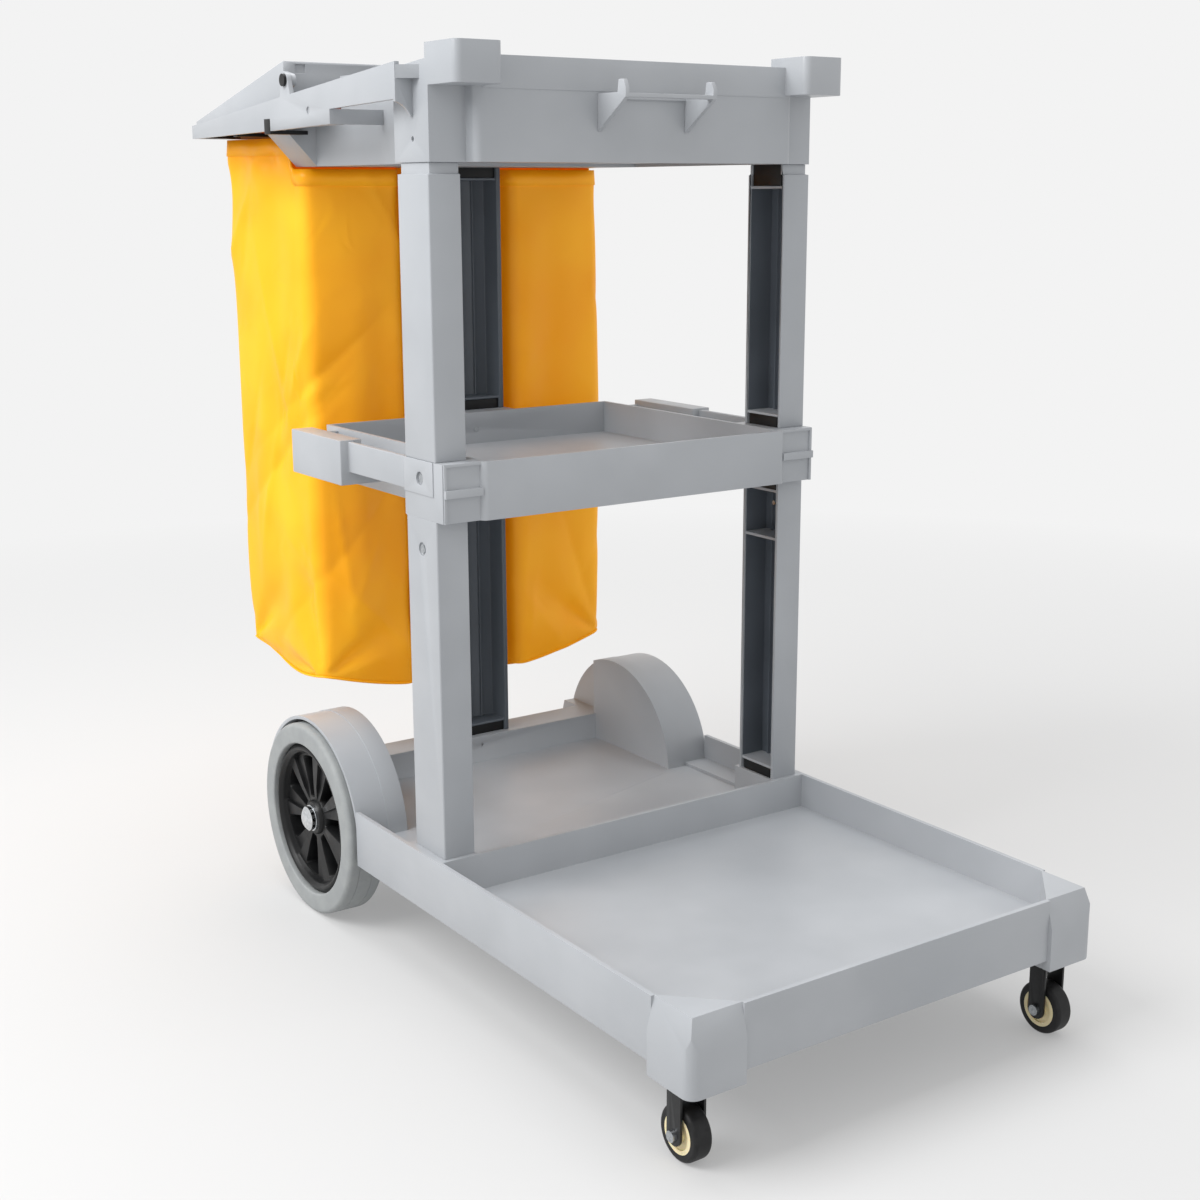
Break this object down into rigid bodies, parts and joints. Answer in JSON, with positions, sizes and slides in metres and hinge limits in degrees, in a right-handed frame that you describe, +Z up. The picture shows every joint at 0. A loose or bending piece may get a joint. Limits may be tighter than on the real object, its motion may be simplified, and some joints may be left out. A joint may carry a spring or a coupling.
{
  "type": "housekeeping cart",
  "caption": "Moulded housekeeping cart with open deck, two trays on channel uprights, a lidded yellow waste bag on rear arms, large rear wheels and small swivel castors.",
  "frame": {"origin": "on the floor below the middle of the whole cart", "axes": "+X to the cart's right seen from its front, +Y to its rear where the bag hangs, +Z up"},
  "size_m": [0.524, 0.981, 0.979],
  "materials": {
    "grey_plastic": "satin",
    "charcoal_plastic": "satin",
    "black_plastic": "satin",
    "grey_rubber": "matt",
    "black_rubber": "satin",
    "black_steel": "satin",
    "zinc_steel": "satin",
    "chrome": "polished",
    "brass": "satin",
    "cream_nylon": "satin",
    "yellow_vinyl": "satin"
  },
  "bodies": {
    "cart": {"base_platform": "grey_plastic", "rear_axle": "zinc_steel", "axle_caps": "chrome", "axle_washers": "zinc_steel", "castor_plate_left": "black_steel", "castor_plate_right": "black_steel", "castor_kingpin_left": "brass", "castor_kingpin_right": "brass", "castor_screws": "zinc_steel", "lower_post_left": "grey_plastic", "lower_post_right": "grey_plastic", "lower_post_rear": "charcoal_plastic", "upper_post_left": "grey_plastic", "upper_post_right": "grey_plastic", "upper_post_rear": "charcoal_plastic", "plugs_base": "black_plastic", "plugs_mid_low": "black_plastic", "plugs_mid_high": "black_plastic", "plugs_top": "black_plastic", "post_screws": "zinc_steel", "middle_tray": "grey_plastic", "tool_rest_left": "grey_plastic", "tool_rest_right": "grey_plastic", "top_tray": "grey_plastic", "front_hook": "grey_plastic", "bag_arm_left": "grey_plastic", "bag_arm_right": "grey_plastic", "bag_rail_rear": "grey_plastic", "lid_hinge_pins": "zinc_steel", "lid_hinge_caps": "black_plastic", "bag_hooks": "black_plastic", "waste_bag": "yellow_vinyl"},
    "wheel_left": {"wheel_hub_left": "black_plastic", "wheel_tyre_left": "grey_rubber"},
    "wheel_right": {"wheel_hub_right": "black_plastic", "wheel_tyre_right": "grey_rubber"},
    "castor_left_swivel": {"castor_fork_left": "black_steel", "castor_bolt_left": "zinc_steel"},
    "castor_right_swivel": {"castor_fork_right": "black_steel", "castor_bolt_right": "zinc_steel"},
    "castor_left_wheel": {"castor_hub_left": "cream_nylon", "castor_tyre_left": "black_rubber"},
    "castor_right_wheel": {"castor_hub_right": "cream_nylon", "castor_tyre_right": "black_rubber"},
    "lid": {"bag_lid": "grey_plastic"}
  },
  "joints": [
    {"name": "wheel_left_spin", "type": "hinge", "parent": "cart", "child": "wheel_left", "pos_m": [-0.235, 0.257, 0.115], "axis": [1, 0, 0], "continuous": true},
    {"name": "wheel_right_spin", "type": "hinge", "parent": "cart", "child": "wheel_right", "pos_m": [0.235, 0.257, 0.115], "axis": [1, 0, 0], "continuous": true},
    {"name": "castor_left_swivel", "type": "hinge", "parent": "cart", "child": "castor_left_swivel", "pos_m": [-0.225, -0.453, 0.07], "axis": [0, 0, 1], "continuous": true},
    {"name": "castor_right_swivel", "type": "hinge", "parent": "cart", "child": "castor_right_swivel", "pos_m": [0.225, -0.453, 0.07], "axis": [0, 0, 1], "continuous": true},
    {"name": "castor_left_roll", "type": "hinge", "parent": "castor_left_swivel", "child": "castor_left_wheel", "pos_m": [-0.225, -0.445, 0.027], "axis": [1, 0, 0], "continuous": true},
    {"name": "castor_right_roll", "type": "hinge", "parent": "castor_right_swivel", "child": "castor_right_wheel", "pos_m": [0.225, -0.461, 0.027], "axis": [1, 0, 0], "continuous": true},
    {"name": "lid_hinge", "type": "hinge", "parent": "cart", "child": "lid", "pos_m": [0, 0.2275, 0.95754], "axis": [1, 0, 0], "range_deg": [0, 100]}
  ]
}
